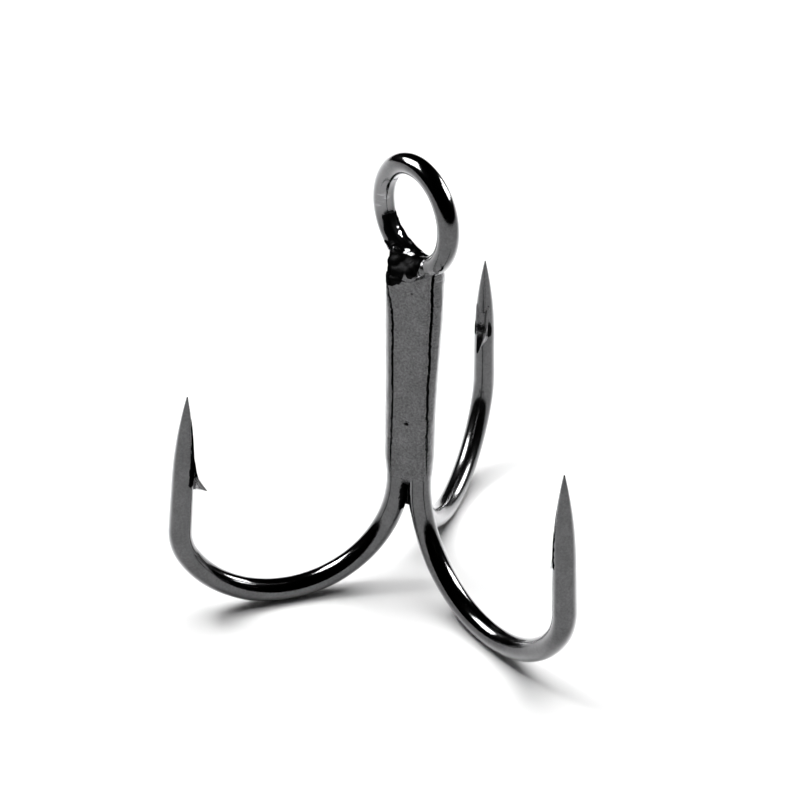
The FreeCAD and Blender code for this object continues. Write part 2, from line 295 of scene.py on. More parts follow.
# The barb's back and its underside from root to tip, across the spear (negative towards the shank) and up it
# from the taper's foot, and the section of the chisel's cut behind it.
BARB_TOP = [(-0.33, 2.4), (-0.51, 1.73), (-0.655, 0.98), (-0.81, 0.51), (-1.035, 0.1), (-1.3, -0.34)]
BARB_UNDER = [(-0.34, 0.06), (-0.46, 0.04), (-0.59, -0.01), (-0.73, -0.055), (-0.93, -0.14), (-1.3, -0.34)]
BARB_HALF_WIDTH, BARB_TIP_HALF_WIDTH = 0.36, 0.025
BARB_ROUND, BARB_TIP_ROUND = 0.2, 0.01
BARB_UNDER_SHARE = 0.96  # width of the underside, as a share of the back's
BARB_RINGS, BARB_SIDES = 40, 16
NOTCH = [(-0.52, -0.02), (-0.95, -0.2), (-0.95, -1.4), (-0.7, -0.93)]
NOTCH_HALF_WIDTH = 0.7


def taper_radius(height):
    """Radius of the ogive point at a share of its length above the taper's foot."""
    chord = math.hypot(SPEAR_TOP_RADIUS - TIP_RADIUS, POINT_LENGTH)
    radius = (chord**2 / 4 + TAPER_BULGE**2) / (2 * TAPER_BULGE)
    lean = math.atan2(SPEAR_TOP_RADIUS - TIP_RADIUS, POINT_LENGTH)
    middle = np.array(((SPEAR_TOP_RADIUS + TIP_RADIUS) / 2, POINT_LENGTH / 2))
    inward = -np.array((math.cos(lean), math.sin(lean)))
    centre = middle + inward * (radius - TAPER_BULGE)
    return centre[0] + math.sqrt(radius**2 - (height * POINT_LENGTH - centre[1]) ** 2)


def hook_path(longer):
    """The centre line from the foot of the straight shank to the tip, with its radius at each point.

    Every point is ground on its own, so each comes out a little longer or shorter than the drawing.
    """
    points = arc_points(np.array((BEND_RADIUS, BEND_START)), BEND_RADIUS, 180, 180 + BEND_TURN)
    points += arc_points(HUB, SPEAR_RADIUS, 180 + BEND_TURN, 360 + POINT_LEAN)
    radii = [WIRE_RADIUS] * len(points)
    spear = line_points(SPEAR_FOOT, TAPER_FOOT)
    points += spear
    radii += list(np.linspace(WIRE_RADIUS, SPEAR_TOP_RADIUS, len(spear) + 1)[1:])
    length = POINT_LENGTH + longer
    taper = line_points(TAPER_FOOT, TAPER_FOOT + length * SPEAR_WAY)
    points += taper
    radii += [taper_radius(np.linalg.norm(p - TAPER_FOOT) / length) for p in taper]
    return points, radii


def eye_path():
    """The centre line from the end of the ring's wire round the ring and down the neck."""
    centre = np.array((EYE_X, EYE_HEIGHT))
    run = NECK_RADIUS - EYE_X
    turn = math.degrees(math.acos(run / (NECK_RADIUS + EYE_RADIUS)))
    ring = arc_points(centre, EYE_RADIUS, EYE_END, -turn)
    ring = [centre + EYE_RADIUS * polar(EYE_END)] + ring
    neck = arc_points(np.array((NECK_RADIUS, NECK_START)), NECK_RADIUS, 180 - turn, 180)
    radii = [EYE_WIRE_RADIUS] * len(ring)
    radii += list(np.linspace(EYE_WIRE_RADIUS, WIRE_RADIUS, len(neck) + 1)[1:])
    return ring + neck, radii


def sweep(points, radii, blunt, seed):
    """A round wire through points of its own plane, flat at the tip and domed at its blunt start."""
    points, radii = np.array(points), np.array(radii)
    ways = np.gradient(points, axis=0)
    ways /= np.linalg.norm(ways, axis=1)[:, None]
    start, first = points[0], ways[0]
    caps = [start - first * blunt * math.sqrt(max(0.0, 1 - d * d)) + first * blunt for d in DOME]
    keep = next(i for i, p in enumerate(points) if np.dot(p - start, first) > blunt)
    points = np.vstack([caps, points[keep:]])
    radii = np.concatenate([[radii[0] - blunt + blunt * d for d in DOME], radii[keep:]])
    ways = np.vstack([[first] * len(DOME), ways[keep:]])
    verts = []
    for point, way, radius in zip(points, ways, radii):
        outward = np.array((way[1], 0.0, -way[0]))
        for side in range(SIDES):
            angle = 2 * math.pi * side / SIDES
            across = outward * math.cos(angle) + np.array((0, 1, 0)) * math.sin(angle)
            place = Vector((point[0] * WIRE_RIPPLE_PACE + seed, across[1], point[1] * WIRE_RIPPLE_PACE))
            reach = radius * (1 + ripple(place, WIRE_RIPPLE) / WIRE_RADIUS)
            verts.append(np.array((point[0], 0, point[1])) + reach * across)
    return verts, tube_faces(len(points), SIDES)


def spear_frame(x, y, z=0.0):
    """A point given across the spear (positive away from the shank) and up it from the taper's foot."""
    out = np.array((SPEAR_WAY[1], -SPEAR_WAY[0]))
    flat = TAPER_FOOT + x * out + y * SPEAR_WAY
    return np.array((flat[0], z, flat[1]))


def make_barb(rise, lift):
    """The sliver that the chisel raises: round-backed like the wire, flat beneath, drawn out to a tip.

    It sits `rise` higher along the spear than drawn, and stands out of it by `lift` times as much.
    """
    stretch = np.array((lift, 1.0))
    root = np.array((BARB_TOP[0][0] * (1 - lift), 0.0))
    tops, unders = (curve(line, BARB_RINGS) * stretch + root for line in (BARB_TOP, BARB_UNDER))
    verts = []
    for u, top, under in zip(np.linspace(0, 1, BARB_RINGS), tops, unders):
        half = BARB_HALF_WIDTH * (1 - u) ** 0.62 + BARB_TIP_HALF_WIDTH
        drop = BARB_ROUND * (1 - u) ** 0.8 + BARB_TIP_ROUND
        under = under + (top - under) * 0.02
        into = (under - top) / max(1e-6, np.linalg.norm(under - top))
        for v in np.linspace(-1, 1, BARB_SIDES):
            back = top + into * drop * (1 - math.sqrt(max(0, 1 - v * v)))
            verts.append(spear_frame(back[0], back[1] + rise, v * half))
        for v in np.linspace(1, -1, BARB_SIDES):
            verts.append(spear_frame(under[0], under[1] + rise, v * half * BARB_UNDER_SHARE))
    return new_object("barb", verts, tube_faces(BARB_RINGS, 2 * BARB_SIDES))


def make_notch(rise):
    """The cutter for the shallow ramp that the chisel leaves behind the barb."""
    sides = (-NOTCH_HALF_WIDTH, NOTCH_HALF_WIDTH)
    verts = [spear_frame(x, y + rise, z) for z in sides for x, y in NOTCH]
    return new_object("notch", verts, tube_faces(2, len(NOTCH)))


def stand_hook(item, hook):
    """Moves a hook from its own plane to its shank's place in the bundle, in metres."""
    offset = SHANK_OFFSET * polar(hook.shank)
    shift = Matrix.Translation((AXIS[0] + offset[0], AXIS[1] + offset[1], AXIS[2]))
    item.data.transform(Matrix.Scale(MM, 4) @ shift @ Matrix.Rotation(math.radians(hook.bend), 4, "Z"))
    item.data.update()


def press_mandrel(verts):
    """Moves the points that stand in the eye's bore out to its edge, where the mandrel flattened the wire."""
    centre = np.array((EYE_X, 0, EYE_HEIGHT))
    for vert in verts:
        out = (vert - centre) * (1, 0, 1)
        reach = np.linalg.norm(out)
        if reach < BORE_RADIUS:
            vert += out * (BORE_RADIUS / reach - 1)


def make_wire(name, hook):
    eyed = name == "eyed"
    if eyed:
        head, head_radii = eye_path()
    else:
        head, head_radii = [np.array((0.0, PLAIN_TOP))], [WIRE_RADIUS]
    shank = line_points(head[-1], np.array((0.0, BEND_START)), SHANK_STEP)
    bend, bend_radii = hook_path(hook.longer)
    radii = head_radii + [WIRE_RADIUS] * len(shank) + bend_radii
    verts, faces = sweep(head + shank + bend, radii, END_ROUND, hook.seed)
    if eyed:
        press_mandrel(verts)
    wire = new_object(hook.node + "_drawn", verts, faces)
    combine(wire, make_notch(hook.rise), "DIFFERENCE")
    combine(wire, make_barb(hook.rise, hook.lift), "UNION")
    stand_hook(wire, hook)
    shade_smooth(wire)
    return wire


wires = {}
for name, hook in HOOKS.items():
    wire = make_wire(name, hook)
    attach(wire, "root")
    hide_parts(hook.node)
    wires[name] = wire


# The braze.

BRAZE_FILM = 0.1
FILM_EDGE = 0.05  # how deep the film's edge dips into the wire
BRAZE_RIPPLE = ((0.014, 1.0), (0.005, 4.0))
GROOVE_WIDTH = 10.0  # bare line between two films, in degrees round the wire
FILLET_FOOT, FILLET_TOP = BRAZE_FOOT - 1.5, PLAIN_TOP + 0.9
FILLET_STEP = 0.05
FILLET_SIDES = 26
FILLET_SEAT = 0.1  # how far the fillet's hidden side stands out of the plane through the two shanks
# The rounded edge of a film: its thickness and its place round the wire, as shares.
FILM_ROUND = [(-0.05, 1.0), (0.35, 0.997), (0.75, 0.98), (0.93, 0.955)]
VALLEYS = (-60, 60, 180)

# The height where the throat's painted dark reflection ends on the bundle's front, at distances across it
# towards the eyed wire.
PAINTED_SHADE_ACROSS = (-1.3, -1.1, -0.69, -0.4, -0.3, -0.2, -0.13, -0.05, 0.06, 0.2, 0.45, 0.6, 0.8)
PAINTED_SHADE_HEIGHTS = (17.95, 18.0, 18.2, 18.28, 18.4, 18.8, 18.95, 18.8, 18.72, 18.75, 18.95, 19.4, 20.1)
PAINTED_SHADE_EDGE = (-0.04, 0.06)
# Painted glints, bright patches in the painted shade: places in the part's frame and radii, and how ragged
# they are.
PAINTED_GLINT_DROPS = [
    ((-0.36, -0.2, -2.0), 0.17),
    ((-0.12, -0.14, -2.1), 0.15),
    ((-1.36, 0.1, -1.58), 0.1),
    ((-1.25, 0.1, -1.68), 0.1),
    ((-1.54, 0.14, -1.33), 0.06),
]
GLINT_RIPPLE = ((0.6, 6.0), (0.4, 15.0))


def groove(name, height):
    """Bearing of a wire's unbrazed line, with the braze's wander."""
    heights, bearings = HOOKS[name].line
    seed = HOOKS[name].shank + 0.5
    slow = noise.noise(Vector((seed, 1.0, height * 0.6)))
    quick = noise.noise(Vector((seed, 2.0, height * 2.7)))
    return float(np.interp(height, heights, bearings)) + 5.0 * slow + 3.0 * quick


def groove_fade(height):
    """How strong the painted shade along an unbrazed line is, from a little faded low on the shank to full
    above.
    """
    return 0.6 + 0.4 * smooth(height, 9.5, 13.0)


def neck_shift(height):
    """How far the neck has swept towards +X above the straight shank."""
    above = min(max(height - NECK_START, 0.0), NECK_RADIUS * 0.9)
    return NECK_RADIUS - math.sqrt(NECK_RADIUS**2 - above**2)


def painted_shade_line(across):
    return float(np.interp(across, PAINTED_SHADE_ACROSS, PAINTED_SHADE_HEIGHTS))


def glint_marks(item):
    """Marks the painted glints: drops where the plate is painted bright inside the painted shade."""
    values = []
    for vert in item.data.vertices:
        point = vert.co / MM
        share = min((point - Vector(centre)).length / radius for centre, radius in PAINTED_GLINT_DROPS)
        values.append(1 - smooth(share + ripple(point, GLINT_RIPPLE), 0.7, 1.2))
    set_mask(item, "painted_glint", values)


def film_on_wire(fillet, sign, z):
    """A film's turn round one of its wires, the centre that it bends round, its thickness and its heap.

    In a fillet's own frame the valley faces +Y, the right wire (sign 1) is at x = HALF_PITCH and the left one
    (sign -1) at x = -HALF_PITCH.
    """
    name = fillet.right if sign == 1 else fillet.left
    turn = groove(name, z)
    wrap = (fillet.bearing - turn) % 360 if sign == 1 else (turn - fillet.bearing) % 360
    slow = noise.noise(Vector((fillet.seed, sign, z * 5.5)))
    quick = noise.noise(Vector((fillet.seed, sign, z * 16)))
    frayed = 4.0 * slow + 4.5 * quick
    wrap = max(2.0, wrap - GROOVE_WIDTH / 2 + frayed)
    centre = np.array((sign * HALF_PITCH, 0.0))
    swell = 1 + 0.6 * smooth(z, NECK_START - 6.5, NECK_START - 0.5)
    run_out = smooth(z, BRAZE_FOOT - 0.5, BRAZE_FOOT + 1.8)
    film = (BRAZE_FILM * swell + FILM_EDGE) * run_out - FILM_EDGE
    heap = 0.0
    if name == "eyed":
        # The film stays on the neck as it sweeps away, and thins out up it.
        way, side = polar(fillet.bearing), polar(fillet.bearing - 90)
        centre += neck_shift(z) * np.array((side[0], way[0]))
        film -= (film + FILM_EDGE) * smooth(z, NECK_START + 0.8, FILLET_TOP)
        heap = fillet.heap * smooth(z, 9.0, NECK_START) * (1 - smooth(z, NECK_START + 0.4, FILLET_TOP))
    else:
        # Above the plain wire's end the film closes in to the bundle's middle, under the throat.
        film -= 0.95 * max(0.0, z - PLAIN_TOP - 0.05) ** 1.1
        sunk = smooth(z, PLAIN_TOP + 0.15, PLAIN_TOP + 0.65)
        centre = np.array((sign * HALF_PITCH * (1 - sunk), -0.3 * sunk))
    return wrap, centre, max(film, 0.15 - WIRE_RADIUS), heap


def film_outline(fillet, sign, z):
    """The outline of a film from its edge to the valley, each point with how far it is out on the edge."""
    wrap, centre, film, heap = film_on_wire(fillet, sign, z)
    arc = [(wrap * turn, cover) for cover, turn in FILM_ROUND]
    arc += [(wrap * turn, 1.0) for turn in np.linspace(0.9, 0, FILLET_SIDES)]
    outline = []
    for angle, cover in arc:
        lump = ripple(Vector((fillet.seed + sign * angle / 30, z * 1.3, 0)), BRAZE_RIPPLE)
        heaped = heap * smooth(1 - angle / wrap, 0.0, 0.5)
        reach = WIRE_RADIUS + film * cover + heaped - FILM_EDGE * (1 - cover) + lump * cover
        outline.append((centre + reach * polar(90 - sign * angle), 1 - cover))
    return outline


def valley_outline(fillet, first, last, z):
    """The outline between two films: almost flush, and hollowed out into the crotch at the foot."""
    hollow = 1 - smooth(z, BRAZE_FOOT - 1.1, BRAZE_FOOT + 0.55)
    sag = 0.03 + 0.66 * hollow
    outline = []
    for t in np.linspace(0, 1, FILLET_SIDES)[1:-1]:
        across = 1 - 2 * t
        lump = ripple(Vector((fillet.seed + across * 0.6, z * 1.3, 0)), BRAZE_RIPPLE)
        at = first + (last - first) * t
        outline.append((at + np.array((0, lump - sag * (1 - across**2))), 0.0))
    return outline


def dig_pits(fillet, x, y, z):
    """Sinks a point into the fillet's pits, and says how much painted shade darkens it there."""
    black = 0.0
    for pit_x, pit_z, radius in fillet.pits:
        away = math.hypot((x - pit_x) * 0.7, z - pit_z) / radius
        y -= 0.8 * radius * math.exp(-2.5 * away**2)
        black += 0.28 * math.exp(-2.5 * away**2)
    return y, black


def fillet_painted_shade(fillet, x, y, z, mark):
    """How much painted shade a fillet gets along its edges and pits (mark) and in the crotch, and how much
    painted dark reflection up at the throat.
    """
    low = 1 - smooth(z + 3 * x * x, BRAZE_FOOT - 0.6, BRAZE_FOOT + 0.6)
    crotch = low * (1 - smooth(y, 0.5, 0.8))
    line = painted_shade_line(-x) if fillet.left == "eyed" else PLAIN_TOP - 0.4
    ragged = 0.1 * noise.noise(Vector((x * 4, z * 4, fillet.seed)))
    end = smooth(z - line + ragged, *PAINTED_SHADE_EDGE)
    if fillet.right == "eyed":
        end *= 1 - smooth(x, -0.5, -0.2)
    return min(1.0, 2.2 * mark * groove_fade(z) + crotch + end)


def make_fillet(fillet):
    """Braze in one valley: almost flush between the wires, drawn out over them to two ragged edges."""
    way, side = polar(fillet.bearing), polar(fillet.bearing - 90)
    rows = int((FILLET_TOP - FILLET_FOOT) / FILLET_STEP)
    verts, painted_shade = [], []
    for row in range(rows + 1):
        z = FILLET_FOOT + row * FILLET_STEP
        right, left = film_outline(fillet, 1, z), film_outline(fillet, -1, z)
        middle = valley_outline(fillet, right[-1][0], left[-1][0], z)
        loop = []
        for (x, y), mark in right + middle + left[::-1]:
            y, black = dig_pits(fillet, x, y, z)
            loop.append((x, y))
            painted_shade.append(fillet_painted_shade(fillet, x, y, z, mark + black))
        seats = (-HALF_PITCH, 0.0, HALF_PITCH)
        loop += [(x, FILLET_SEAT) for x in seats]
        painted_shade += [0.0] * len(seats)
        for x, y in loop:
            if y < FILLET_SEAT and abs(x) < HALF_PITCH:
                y = FILLET_SEAT
            flat = AXIS[:2] + way * (SHANK_OFFSET / 2 + y) + side * x
            verts.append((flat[0], flat[1], z + AXIS[2]))
    item = new_object(fillet.node + "_flow", verts, tube_faces(rows + 1, len(loop)))
    item.data.transform(Matrix.Scale(MM, 4))
    set_mask(item, "painted_shade", painted_shade)
    shade_smooth(item)
    return item


braze = []
for fillet in FILLETS:
    piece = make_fillet(fillet)
    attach(piece, "root")
    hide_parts(fillet.node)
    braze.append(piece)

# The throat is a heap of blobs melted into one. Its body: offsets from the bundle's axis, heights and radii.
THROAT_BODY = [
    ((-0.02, -0.02, 18.7), (1.2, 1.12, 0.7)),
    ((-0.46, -0.57, 18.6), (0.66, 0.66, 0.6)),
    ((-0.64, -0.46, 18.95), (0.62, 0.62, 0.55)),
    ((-0.86, -0.34, 19.3), (0.52, 0.52, 0.45)),
]
THROAT_CAP = (0.67, 0.67, 0.72)  # over a plain wire's end
THROAT_FACE = (0.5, 0.5, 0.42)  # one of the blobs that carry on the face of the front fillet
THROAT_FACE_HEIGHTS = (18.25, 18.55, 18.85, 19.05)
THROAT_VOXEL = 0.045
THROAT_RIPPLE = ((0.04, 1.9), (0.011, 5.3), (0.003, 14.0))
BORE_CLEARANCE = 0.01
FRONT_WAY, FRONT_SIDE = polar(-60), polar(-150)


def ball(centre, radii):
    bm = bmesh.new()
    bmesh.ops.create_icosphere(bm, subdivisions=3, radius=1.0)
    bm.transform(Matrix.Translation(centre) @ Matrix.Diagonal((*radii, 1.0)))
    mesh = bpy.data.meshes.new("ball")
    bm.to_mesh(mesh)
    bm.free()
    return mesh


def keep_bore(point, soft):
    """Eases a point out of the eye's bore, without folding the surface."""
    clear = BORE_RADIUS + BORE_CLEARANCE
    reach = math.hypot(point.x, point.z)
    if reach < clear + 6 * soft:
        eased = clear + soft * math.log1p(math.exp((reach - clear) / soft))
        point.x *= eased / reach
        point.z *= eased / reach


def face_blobs():
    """Blobs over the front fillet's top, fewer and further back towards the eyed wire as they go up."""
    blobs = []
    for height in THROAT_FACE_HEIGHTS:
        above = height - THROAT_FACE_HEIGHTS[0]
        reach = 0.47 - 0.12 * above
        for across in np.arange(-0.72, 0.55 - 1.25 * above, 0.22):
            at = AXIS[:2] + FRONT_WAY * reach + FRONT_SIDE * across
            blobs.append(((at[0], at[1], STAND + height), THROAT_FACE))
    return blobs


def ring_blobs():
    """Blobs along the ring's closing end, thicker towards the throat."""
    blobs = []
    for angle in np.arange(200, 296, 5.0):
        thick = smooth(angle, 200, 262)
        past = smooth(angle, 262, 285)
        at = (EYE_RADIUS + 0.03) * polar(angle)
        radius = 0.44 + 0.09 * thick
        wide = 1.14 + 0.3 * thick * (1 - smooth(angle, 268, 285))
        blobs.append(((at[0] + 0.05, 0.06 - 0.1 * past, at[1]), (radius, radius * wide, radius)))
    return blobs


def throat_blobs():
    """Every blob of the throat, as its centre in the part's frame and its radii."""
    blobs = []
    for (x, y, height), radii in THROAT_BODY:
        blobs.append(((AXIS[0] + x, AXIS[1] + y, STAND + height), radii))
    for name in ("front", "rear"):
        at = AXIS[:2] + (SHANK_OFFSET + 0.02) * polar(HOOKS[name].shank)
        blobs.append(((at[0], at[1], STAND + PLAIN_TOP - 0.05), THROAT_CAP))
    return blobs + face_blobs() + ring_blobs()


def throat_painted_shade(vert):
    """How dark the throat is painted, as a painted reflection of the dark overhead: above the painted line on
    its front, and on its back where it faces up, save for noise-placed beads.
    """
    out = np.array(vert.co[:2]) - AXIS[:2]
    front = smooth(float(np.dot(out, FRONT_WAY)), 0.0, 0.3)
    line = painted_shade_line(-float(np.dot(out, FRONT_SIDE))) + 0.12 * noise.noise(vert.co * 4.0)
    above = smooth(vert.co.z - STAND - line, *PAINTED_SHADE_EDGE)
    bead = 1 - 0.8 * smooth(noise.noise(vert.co * 3.1 + Vector((7, 0, 0))), 0.2, 0.42)
    return front * above + (1 - front) * bead * smooth(vert.normal.z, -0.3, 0.0)


def make_throat(name):
    """The rough braze that ran over the plain wires' ends, under the ring and up its closing end."""
    whole = bmesh.new()
    for centre, radii in throat_blobs():
        mesh = ball(centre, radii)
        whole.from_mesh(mesh)
        bpy.data.meshes.remove(mesh)
    mesh = bpy.data.meshes.new(name)
    whole.to_mesh(mesh)
    whole.free()
    item = add_object(name, mesh)
    apply_modifier(item, "REMESH", mode="VOXEL", voxel_size=THROAT_VOXEL)
    apply_modifier(item, "SMOOTH", factor=0.5, iterations=6)
    for vert in item.data.vertices:
        keep_bore(vert.co, 0.05)
    apply_modifier(item, "SMOOTH", factor=0.5, iterations=4)
    painted_shade = []
    for vert in item.data.vertices:
        vert.co += vert.normal * ripple(vert.co, THROAT_RIPPLE)
        keep_bore(vert.co, 0.02)
        painted_shade.append(throat_painted_shade(vert))
    item.data.transform(Matrix.Scale(MM, 4))
    set_mask(item, "painted_shade", painted_shade)
    glint_marks(item)
    shade_smooth(item)
    return item


throat = make_throat("braze_throat_flow")
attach(throat, "root")
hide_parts("braze_throat")


# Painted shade and dark reflections, painted sheen with rubbed streaks, and painted glints on the wires.

# The painted dark reflection on a point's inner flank: its half width round the spear in degrees at heights
# above the barb's seat.
FLANK_SHADE_HEIGHTS, FLANK_SHADE_WIDTHS = (0.3, 1.5, 3.0, 4.4), (84, 79, 62, 40)
RING_INSIDE, RING_OUTSIDE = 1.9, 3.2  # reaches from the eye's centre that hold the ring's wire
RING_SHADE_START, RING_SHADE_END = 190, 275  # turns round the eye that hold the ring's closing end, painted dark as a painted reflection
BUNDLE_REACH, NECK_REACH = 2.2, 2.8  # reaches from the bundle's axis that hold the shanks, and the neck too


def from_eye(point):
    """A point's reach from the eye's centre and its turn round the eye's axis, from +X towards +Z."""
    return math.hypot(point[0], point[2]), bearing_of(point[0], point[2]) % 360


def flank_shade(point, hook):
    """How much painted dark reflection the inner flank of a point gets, from near its tip down to the barb
    that the chisel raised.
    """
    ahead, left = polar(hook.bend), polar(hook.bend + 90)
    flat = point[:2] - AXIS[:2] - SHANK_OFFSET * polar(hook.shank)
    inside = np.array((np.dot(flat, ahead), point[2] - STAND)) - TAPER_FOOT
    along = float(np.dot(inside, SPEAR_WAY)) - hook.rise
    if not -0.3 < along < 4.7 or np.dot(flat, ahead) < BEND_RADIUS:
        return 0.0
    outward = inside[0] * SPEAR_WAY[1] - inside[1] * SPEAR_WAY[0]
    sideways = abs(float(np.dot(flat, left)))
    angle = math.degrees(math.atan2(sideways, -outward))
    reach = math.hypot(outward, sideways)
    half = hook.chisel_share * float(np.interp(along, FLANK_SHADE_HEIGHTS, FLANK_SHADE_WIDTHS))
    half += 9 * noise.noise(Vector(point * 3.5))
    top = hook.chisel_top
    mark = (1 - smooth(angle, half - 6, half + 6)) * smooth(along, 0.15, 0.42)
    mark *= 1 - smooth(along, top - 0.9, top)
    return mark * (1 - 0.75 * smooth(reach, 0.62, 0.8))


def groove_shade(name, point, height):
    """How much painted shade a wire gets along its unbrazed line, in the crevice at the films' edges."""
    shank = AXIS[:2] + SHANK_OFFSET * polar(HOOKS[name].shank)
    if name == "eyed":
        shank = shank + (neck_shift(height), 0)
    out = point[:2] - shank
    if height <= BRAZE_FOOT or np.linalg.norm(out) >= WIRE_RADIUS * 1.15:
        return 0.0
    away = abs((bearing_of(*out) - groove(name, height) + 180) % 360 - 180)
    mark = (1 - smooth(away, 5, 10)) * smooth(height, BRAZE_FOOT + 0.2, BRAZE_FOOT + 3.0)
    return mark * groove_fade(height) * (1 - 0.9 * smooth(height, NECK_START + 1.2, NECK_START + 2.9))


def crotch_shade(bearing, point, height):
    """How much painted shade a wire gets where it faces the crotch under one valley."""
    off = point[:2] - AXIS[:2]
    if np.dot(off, polar(bearing)) <= SHANK_OFFSET / 2 - 0.1:
        return 0.0
    across = abs(float(np.dot(off, polar(bearing - 90))))
    low = 1 - smooth(height + 3 * across**2, BRAZE_FOOT - 0.5, BRAZE_FOOT + 0.7)
    return (1 - smooth(across, 0.18, 0.44)) * low


def ring_end_shade(point, reach, turn):
    """How much painted dark reflection the ring's closing end gets, more of it towards the throat."""
    across = (reach - EYE_RADIUS) * math.cos(math.radians(turn)) * 0.61 + point[1] * 0.79
    edge = -0.2 - 0.2 * smooth(turn, 200, 250) + 0.1 * noise.noise(Vector(point * 2.4))
    return smooth(across, edge - 0.05, edge + 0.05) * smooth(turn, 196, 203)


def wire_painted_shade(item, name, hook):
    """Marks the painted shade on a wire, along its unbrazed line and in the crotches, and the painted dark
    reflection on the ring's closing end and a point's inner flank.
    """
    values = []
    for vert in item.data.vertices:
        point = np.array(vert.co) / MM
        height = point[2] - STAND
        mark = 0.0
        inside = np.linalg.norm(point[:2] - AXIS[:2]) < (NECK_REACH if name == "eyed" else BUNDLE_REACH)
        if inside and BRAZE_FOOT - 1.7 < height < NECK_START + 2.9:
            crotches = [crotch_shade(bearing, point, height) for bearing in VALLEYS]
            mark = max(groove_shade(name, point, height), *crotches)
        reach, turn = from_eye(point)
        on_ring = name == "eyed" and RING_INSIDE < reach < RING_OUTSIDE
        if on_ring and RING_SHADE_START < turn < RING_SHADE_END:
            mark = ring_end_shade(point, reach, turn)
        values.append(max(mark, flank_shade(point, hook)))
    set_mask(item, "painted_shade", values)


def sheen_and_wear_marks(item):
    """Marks the front of the ring's left side, which is painted lighter as a painted sheen and where rubbed
    streaks show.
    """
    values = []
    for vert in item.data.vertices:
        point = np.array(vert.co) / MM
        reach, turn = from_eye(point)
        mark = 0.0
        if RING_INSIDE < reach < RING_OUTSIDE:
            mark = smooth(turn, 118, 150) * (1 - smooth(turn, 185, 215)) * (1 - smooth(point[1], -0.1, 0.35))
        values.append(mark)
    set_mask(item, "sheen_and_wear", values)


for name, hook in HOOKS.items():
    wire_painted_shade(wires[name], name, hook)
sheen_and_wear_marks(wires["eyed"])
glint_marks(wires["eyed"])


# Materials.


class Nodes:
    """Short calls for building a material's node tree."""

    def __init__(self, name):
        self.material = bpy.data.materials.new(name)
        self.material.use_nodes = True
        self.tree = self.material.node_tree
        self.tree.nodes.clear()

    def feed(self, socket, value):
        """Gives a socket a link from another socket, or a constant."""
        if isinstance(value, bpy.types.NodeSocket):
            self.tree.links.new(value, socket)
        else:
            socket.default_value = value

    def add(self, kind, **values):
        node = self.tree.nodes.new("ShaderNode" + kind)
        for key, value in values.items():
            if hasattr(node, key):
                setattr(node, key, value)
            else:
                self.feed(node.inputs[key.replace("_", " ")], value)
        return node

    def mix(self, factor, low, high):
        node = self.add("Mix", data_type="FLOAT")
        for socket, value in zip((node.inputs[0], node.inputs[2], node.inputs[3]), (factor, low, high)):
            self.feed(socket, value)
        return node.outputs[0]

    def mix_colours(self, factor, low, high):
        node = self.add("Mix", data_type="RGBA")
        for socket, value in zip((node.inputs[0], node.inputs[6], node.inputs[7]), (factor, low, high)):
            self.feed(socket, value)
        return node.outputs[2]

    def math(self, operation, a, b):
        node = self.add("Math", operation=operation)
        for socket, value in zip(node.inputs, (a, b)):
            self.feed(socket, value)
        return node.outputs[0]

    def spread(self, value, low, high, to_low=0.0, to_high=1.0, curve="LINEAR"):
        node = self.add("MapRange", interpolation_type=curve, Value=value)
        for key, number in (("From Min", low), ("From Max", high), ("To Min", to_low), ("To Max", to_high)):
            node.inputs[key].default_value = number
        return node.outputs[0]

    def mask(self, name):
        return self.add("Attribute", attribute_name=name).outputs["Fac"]

    def noise(self, at, scale, detail, roughness):
        return self.add("TexNoise", Vector=at, Scale=scale, Detail=detail, Roughness=roughness).outputs["Fac"]

    def finish(self, shader):
        out = self.add("OutputMaterial")
        self.tree.links.new(shader.outputs[0], out.inputs["Surface"])
        return self.material


# Shades in order: the plate, rubbed streaks, painted sheen, painted shade and dark reflections, and painted
# glints.
PLATE_SHADE, RUBBED_SHADE, PAINTED_SHEEN_SHADE, PAINTED_SHADE_LEVEL, GLINT_SHADE = 0.1, 0.7, 0.4, 0.004, 0.9
RUBBED_ROUGHNESS, PAINTED_SHADE_ROUGHNESS, GLINT_ROUGHNESS = 0.3, 0.4, 0.55
# Shade of the painted rim highlight.
PAINTED_RIM_SHADE = 0.7
PLATE_TINT = (1.0, 1.0, 1.02)


